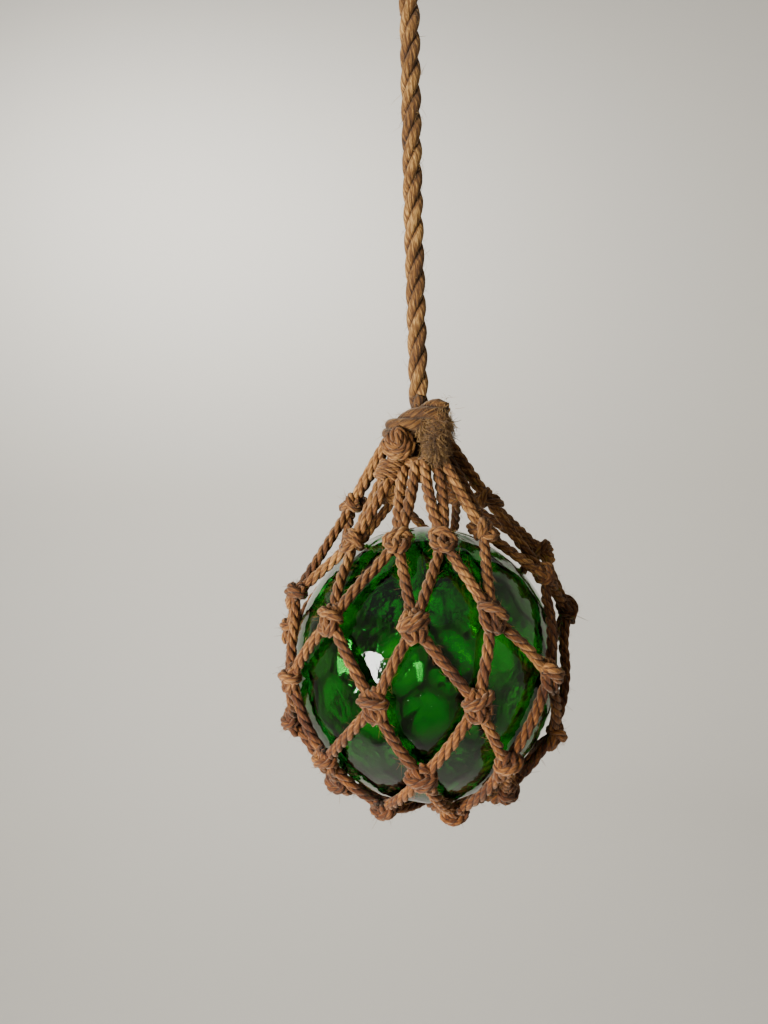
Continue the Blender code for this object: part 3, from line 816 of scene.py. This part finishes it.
# The brushed-out end: a matted core under fine tangled fibres, and more fibres pulled across from the
# band to the stopper knot. Pairs are the span that a value is drawn from; thin is the taper of a fibre.
brush = {
    "line": [(1.0, -0.95, -0.75), (0.95, -1.2, -1.4), (0.8, -1.35, -2.2), (0.75, -1.4, -3.1)],
    "sizes": [0.9, 1.3, 1.25, 0.5],
    "fibres": 2600,
    "share": (0.25, 1.0),
    "depth": (0.70, 0.92),
    "aside": (0.45, 0.3),
    "down": (-1.0, 0.1),
    "flatten": 0.8,
    "reach": (0.0012, 0.0030),
    "joints": 3,
    "tangle": (0.3, 0.3, 0.3),
    "lift": (-0.3, 0.15),
    "width": (0.00010, 0.00024),
    "thin": (1.0, 1.0, 0.8, 0.4),
    "shade": (0.28, 0.80),
    "coreSides": 14,
    "core": (0.80, 0.92),
}
bridge = {
    "line": [(0.5, -0.75, -0.9), (0.4, -0.8, -1.5), (0.45, -0.85, -2.3), (0.5, -0.9, -3.0)],
    "fibres": 420,
    "box": [(-0.1, 1.0), (-1.45, -1.15), (-1.5, -0.9)],
    "across": (0.15, 0.35),
    "outward": (0, 0.15),
    "joints": 4,
    "tangle": (0.25, 0.15, 0.2),
    "reach": (0.0014, 0.0030),
    "width": (0.00015, 0.00034),
    "thin": (1.0, 1.0, 1.0, 1.0, 0.4),
    "shade": (0.25, 0.85),
    "core": (0.40, 0.46),
}


def scatter(spreads):
    return Vector([random.gauss(0, wide) for wide in spreads])


def brushFibre(fibres, line, size):
    share = random.uniform(*brush["share"])
    at = line[int(share * (len(line) - 1))]
    turn = random.uniform(0, 2 * math.pi)
    out = Vector((math.cos(turn), math.sin(turn), 0))
    spot = at + out * (size(share) * rope["thick"] / 2 * random.uniform(*brush["depth"]))
    wide, deep = brush["aside"]
    heading = Vector((random.gauss(0, wide), random.gauss(0, deep), random.uniform(*brush["down"])))
    heading.normalize()
    heading = (heading - out * (heading.dot(out) * brush["flatten"])).normalized()
    reach = random.uniform(*brush["reach"])
    route = [spot]
    for i in range(brush["joints"]):
        heading = (heading + scatter(brush["tangle"]) + out * random.uniform(*brush["lift"])).normalized()
        route.append(route[-1] + heading * reach)
    width = random.uniform(*brush["width"])
    fibres.sweep(route, [width * thin for thin in brush["thin"]], shade=random.uniform(*brush["shade"]))


def bridgeFibre(fibres):
    start = headTop + Vector([random.uniform(*span) for span in bridge["box"]]) * rope["thick"]
    fall = Vector((random.gauss(*bridge["across"]), random.gauss(*bridge["outward"]), -1)).normalized()
    route = [start]
    for i in range(bridge["joints"]):
        fall = (fall + scatter(bridge["tangle"])).normalized()
        route.append(route[-1] + fall * random.uniform(*bridge["reach"]))
    width = random.uniform(*bridge["width"])
    fibres.sweep(route, [width * thin for thin in bridge["thin"]], shade=random.uniform(*bridge["shade"]))


def makeBrush():
    line = headLine(brush["line"])
    size = between(brush["sizes"])
    fibres = CordMesh(4)
    for n in range(brush["fibres"]):
        brushFibre(fibres, line, size)
    for n in range(bridge["fibres"]):
        bridgeFibre(fibres)
    piece = fibres.finish("brushed_end", ropeMaterial)
    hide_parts("head_knot")
    core = CordMesh(brush["coreSides"])
    radii = []
    for i in range(len(line)):
        radii.append(size(i / (len(line) - 1)) * rope["thick"] / 2 * random.uniform(*brush["core"]))
    core.sweep(line, radii, shade=0.30)
    across = headLine(bridge["line"])
    core.sweep(across, [rope["thick"] * random.uniform(*bridge["core"]) for p in across], shade=0.24)
    corePiece = core.finish("brushed_core", ropeMaterial)
    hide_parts("head_knot")
    return line


brushLine = makeBrush()

# Loose hairs. A hair starts at stand, a share of its cord's thickness, and most are short. Its line is
# shares of its reach, bend and curl. A hair that points inwards by more than inward is turned round.
hair = {
    "onNet": 4200,
    "onHead": 1500,
    "onLegs": 0.62,
    "inward": -0.2,
    "stand": (0.32, 0.48),
    "mostlyShort": 0.8,
    "short": (0.0006, 0.0022),
    "long": (0.0022, 0.0038),
    "bend": (0.3, 1.6),
    "curl": (0.2, 0.2, 0.2),
    "line": [(0, 0, 0), (0.4, 0.3, 0), (0.75, 0.8, 1), (1, 1.3, 2)],
    "headAcross": (-1, 1),
    "headOutward": (-1, 0.4),
    "width": (0.00005, 0.00009),
    "thin": (1.0, 1.0, 0.8, 0.3),
    "shade": (0.55, 1.1),
    "knotThickness": 2.2,
    "bandThickness": 1.05,
    "brushThickness": 1.2,
    "ropeThickness": 0.95,
}


def oneHair(hairs, base, along, away, thick):
    out = scatter((1, 1, 1))
    out = (out - along * out.dot(along)).normalized()
    if out.dot(away) < hair["inward"]:
        out = (out - away * (2 * out.dot(away))).normalized()
    start = base + out * thick * random.uniform(*hair["stand"])
    span = hair["short"] if random.random() < hair["mostlyShort"] else hair["long"]
    reach = random.uniform(*span)
    bend = along * random.choice((-1, 1)) * reach * random.uniform(*hair["bend"])
    curl = scatter(hair["curl"]) * reach
    route = [start + out * reach * rise + bend * aside + curl * twist for rise, aside, twist in hair["line"]]
    width = random.uniform(*hair["width"])
    hairs.sweep(route, [width * thin for thin in hair["thin"]], shade=random.uniform(*hair["shade"]))


def makeHairs():
    random.seed(23)
    hairs = CordMesh(4)
    for n in range(hair["onNet"]):
        if random.random() < hair["onLegs"]:
            line = random.choice(legLines)
            at = random.randint(1, len(line) - 2)
            base = line[at].lerp(line[at + 1], random.random())
            along = (line[at + 1] - line[at - 1]).normalized()
            thick = twine["thick"]
        else:
            base = centre + random.choice(knotPlaces)
            along = Vector([random.uniform(-1, 1) for axis in range(3)]).normalized()
            thick = twine["thick"] * hair["knotThickness"]
        oneHair(hairs, base, along, (base - centre).normalized(), thick)
    netHairs = hairs.finish("net_hairs", twineMaterial)
    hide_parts("net")
    hairs = CordMesh(4)
    sources = ((headLine(hitch["turn"]), hair["bandThickness"]), (brushLine, hair["brushThickness"]),
               (ropeRoute(), hair["ropeThickness"]))
    for n in range(hair["onHead"]):
        line, size = sources[n % len(sources)]
        at = random.randint(0, len(line) - 2)
        base = line[at].lerp(line[at + 1], random.random())
        along = (line[at + 1] - line[at]).normalized()
        away = Vector((random.uniform(*hair["headAcross"]), random.uniform(*hair["headOutward"]), 0))
        away.normalize()
        oneHair(hairs, base, along, away, rope["thick"] * size)
    headHairs = hairs.finish("head_hairs", ropeMaterial)
    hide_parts("head_knot")


makeHairs()

# The glass ball, a hollow shell. Dimples stand in staggered rows, and a dimple's width and height are
# shares of the gaps. A noise is its scale, detail and roughness, a bump its strength and distance, and
# swell and ripple are their heights and scales on the inner surface.
glass = {
    "wall": 0.0042,
    "splits": 7,
    "dimpleColumns": 18,
    "dimpleRowGap": 20.0,
    "dimpleRowStart": -5.0,
    "dimpleLastRow": 78,
    "dimpleWidth": 0.62,
    "dimpleHeight": 0.72,
    "narrowest": 0.25,
    "dimpleDepth": 0.0006,
    "cellSharpness": 2.2,
    "innerWave": 0.0019,
    "swell": (0.0005, 7),
    "ripple": (0.00012, 24),
    "sealWidth": 0.016,
    "sealRise": 0.0012,
    "slowNoise": (24.0, 2.0, 0.5),
    "slowBump": (0.35, 0.002),
    "quickNoise": (130.0, 3.0, 0.55),
    "quickBump": (0.40, 0.0006),
    "seedScale": 240.0,
    "seedSize": 0.14,
    "seedBump": (0.35, 0.0003),
    "swirl": (1.1, -0.38),
    "cellShare": 0.58,
    "tint": [(0.15, (0.002, 0.034, 0.006)), (0.52, (0.010, 0.200, 0.018)), (0.88, (0.04, 0.55, 0.06))],
    "edgeBlend": 0.35,
    "edgeTint": (0.012, 0.11, 0.022, 1.0),
}

# The seal, in half widths from its middle: the button with its soft edge, the ring pressed in it and
# the smooth glass round it
seal = {
    "edge": (1.15, 0.3),
    "ring": (0.55, 0.18),
    "ringDepth": 0.25,
    "smooth": 2.2,
}


def clamped(value):
    return min(1.0, max(0.0, value))


def dimple(direction):
    # How far the surface is pressed in, from 0 to 1
    latitude = math.degrees(math.asin(max(-1.0, min(1.0, direction.z))))
    azimuth = math.degrees(math.atan2(direction.x, -direction.y))
    gap = 360 / glass["dimpleColumns"]
    row = round((latitude - glass["dimpleRowStart"]) / glass["dimpleRowGap"])
    best = 0.0
    for r in (row - 1, row, row + 1):
        middle = r * glass["dimpleRowGap"] + glass["dimpleRowStart"]
        if abs(middle) > glass["dimpleLastRow"]:
            continue
        shift = 0.5 * (r % 2)
        column = round(azimuth / gap - shift)
        width = gap * glass["dimpleWidth"] * max(glass["narrowest"], math.cos(math.radians(middle)))
        up = (latitude - middle) / (glass["dimpleRowGap"] * glass["dimpleHeight"])
        for c in (column - 1, column, column + 1):
            aside = (azimuth - (c + shift) * gap + 180) % 360 - 180
            across = aside * math.cos(math.radians(latitude)) / width
            best = max(best, 1 - math.hypot(across, up))
    return clamped(best)


def hollow(press):
    # A dimple deepens softly to its middle
    return 1 - (1 - press) ** 2


def sealLift(direction):
    # How far the button that closes the blowing hole stands out, and how smooth the glass is there
    away = direction.angle(toward(ball["sealAzimuth"], ball["sealLatitude"]))
    far = away * ball["height"] / glass["sealWidth"]
    edge, softness = seal["edge"]
    ringAt, ringWide = seal["ring"]
    button = clamped((edge - far) / softness)
    ring = max(0.0, 1 - abs(far - ringAt) / ringWide)
    return glass["sealRise"] * (button - seal["ringDepth"] * ring), clamped(seal["smooth"] - far)


def makeGlassMaterial():
    material, tree, shader = newMaterial("green glass")
    shader.inputs["Roughness"].default_value = 0.012
    shader.inputs["IOR"].default_value = 1.5
    shader.inputs["Transmission Weight"].default_value = 1.0
    shader.inputs["Specular IOR Level"].default_value = 0.15
    place = addNode(tree, "ShaderNodeTexCoord", (-1100, 0)).outputs["Object"]
    slow = noiseNode(tree, (-900, 0), place, glass["slowNoise"])
    quick = noiseNode(tree, (-900, -200), place, glass["quickNoise"])
    seeds = addNode(tree, "ShaderNodeTexVoronoi", (-900, -450), Scale=glass["seedScale"])
    tree.links.new(place, seeds.inputs["Vector"])
    pit = mathNode(tree, (-700, -450), "LESS_THAN", seeds.outputs["Distance"], glass["seedSize"])
    normal = bumpNode(tree, (-600, -50), slow, glass["slowBump"])
    normal = bumpNode(tree, (-420, -120), quick, glass["quickBump"], normal)
    normal = bumpNode(tree, (-240, -200), pit, glass["seedBump"], normal)
    tree.links.new(normal, shader.inputs["Normal"])
    # Darker between the dimples, painted shade for the dark lines along their borders, and thicker
    # and darker towards the edge
    cell = addNode(tree, "ShaderNodeAttribute", (-900, 300), attribute_name="cell")
    swirl = mathNode(tree, (-700, 200), "MULTIPLY_ADD", slow, *glass["swirl"])
    # cell makes the tint's depth low between the dimples, where the shade is painted
    depth = mathNode(tree, (-520, 250), "MULTIPLY_ADD", cell.outputs["Fac"], glass["cellShare"], swirl)
    tint = ramp(tree, (-340, 250), depth, glass["tint"])
    edge = addNode(tree, "ShaderNodeLayerWeight", (-340, 500), Blend=glass["edgeBlend"])
    colour = mixNode(tree, (-120, 300), "MIX", edge.outputs["Facing"], tint, glass["edgeTint"])
    tree.links.new(colour, shader.inputs["Base Color"])
    return material


def makeGlass():
    shell = bmesh.new()
    bmesh.ops.create_icosphere(shell, subdivisions=glass["splits"], radius=1.0)
    cell = shell.verts.layers.float.new("cell")
    for vert in shell.verts:
        direction = vert.co.normalized()
        press = dimple(direction)
        lift, smooth = sealLift(direction)
        # cell is the dimple's share here; the glass material paints shade between the dimples from it
        vert[cell] = min(1.0, press * glass["cellSharpness"])
        depth = glass["dimpleDepth"] * hollow(press) * (1 - smooth)
        vert.co = centre + direction * (ballRadius(direction) - depth + lift)
    inner = bmesh.ops.duplicate(shell, geom=shell.faces[:])
    innerFaces = [f for f in inner["geom"] if isinstance(f, bmesh.types.BMFace)]
    innerVerts = [v for v in inner["geom"] if isinstance(v, bmesh.types.BMVert)]
    for vert in innerVerts:
        direction = (vert.co - centre).normalized()
        wave = glass["innerWave"] * hollow(dimple(direction))
        uneven = 0.0
        for size, scale in (glass["swell"], glass["ripple"]):
            uneven += size * noise.noise(direction * scale)
        vert.co = centre + direction * (ballRadius(direction) - glass["wall"] - wave + uneven)
    bmesh.ops.reverse_faces(shell, faces=innerFaces)
    for face in shell.faces:
        face.smooth = True
    data = bpy.data.meshes.new("glass_shell")
    shell.to_mesh(data)
    shell.free()
    data.materials.append(makeGlassMaterial())
    piece = bpy.data.objects.new("glass_shell", data)
    bpy.context.scene.collection.objects.link(piece)
    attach(piece, "root")
    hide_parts("glass_ball")
    print("glass_shell has", len(data.polygons), "triangles")


makeGlass()

# Pale floor that sweeps up all round the piece, and soft studio light from the left. A light is its
# name, its place and aim from the ball's middle, its size and its power.
studio = {
    "floor": -1.50,
    "wall": 3.2,
    "bend": 1.0,
    "bendSteps": 12,
    "height": 4.0,
    "roundSteps": 72,
    "weld": 1e-4,
    "floorColour": (0.64, 0.62, 0.57, 1.0),
    "floorRoughness": 0.9,
    "floorSpecular": 0.1,
    "world": 0.33,
    "worldTint": (1.0, 0.985, 0.95),
    "lightColour": (1.0, 0.98, 0.95),
    "lights": [("window", (-0.80, -0.85, 0.02), (0.0, 0.0, 0.0), (0.5, 0.6), 50.0),
               ("wall wash", (-0.7, 1.6, 1.4), (-0.40, 3.2, 0.3), (0.9, 0.5), 62.0)],
}


def makeFloor():
    bowl = bmesh.new()
    profile = [(0.0, 0.0)]
    for i in range(studio["bendSteps"] + 1):
        turn = math.pi / 2 * i / studio["bendSteps"]
        out = studio["wall"] - studio["bend"] + studio["bend"] * math.sin(turn)
        profile.append((out, studio["bend"] * (1 - math.cos(turn))))
    profile.append((studio["wall"], studio["height"]))
    verts = [bowl.verts.new((out, 0, studio["floor"] + up)) for out, up in profile]
    edges = [bowl.edges.new(pair) for pair in zip(verts, verts[1:])]
    bmesh.ops.spin(bowl, geom=verts + edges, axis=(0, 0, 1), cent=(0, 0, 0), angle=2 * math.pi,
                   steps=studio["roundSteps"])
    bmesh.ops.remove_doubles(bowl, verts=bowl.verts, dist=studio["weld"])
    bmesh.ops.recalc_face_normals(bowl, faces=bowl.faces)
    for face in bowl.faces:
        face.smooth = True
    data = bpy.data.meshes.new("floor")
    bowl.to_mesh(data)
    bowl.free()
    material, tree, shader = newMaterial("pale floor")
    shader.inputs["Base Color"].default_value = studio["floorColour"]
    shader.inputs["Roughness"].default_value = studio["floorRoughness"]
    shader.inputs["Specular IOR Level"].default_value = studio["floorSpecular"]
    data.materials.append(material)
    floor = bpy.data.objects.new("floor", data)
    bpy.context.scene.collection.objects.link(floor)


def makeLights():
    world = bpy.data.worlds.new("studio")
    world.use_nodes = True
    colour = [studio["world"] * part for part in studio["worldTint"]]
    world.node_tree.nodes["Background"].inputs["Color"].default_value = (*colour, 1.0)
    bpy.context.scene.world = world
    for name, place, aim, size, power in studio["lights"]:
        light = bpy.data.lights.new(name, "AREA")
        light.shape = "RECTANGLE"
        light.size, light.size_y = size
        light.energy = power
        light.color = studio["lightColour"]
        lamp = bpy.data.objects.new(name, light)
        lamp.location = centre + Vector(place)
        lamp.rotation_euler = (Vector(aim) - Vector(place)).to_track_quat("-Z", "Y").to_euler()
        bpy.context.scene.collection.objects.link(lamp)


makeFloor()
makeLights()
print("studio ready")

bpy.context.view_layer.update()
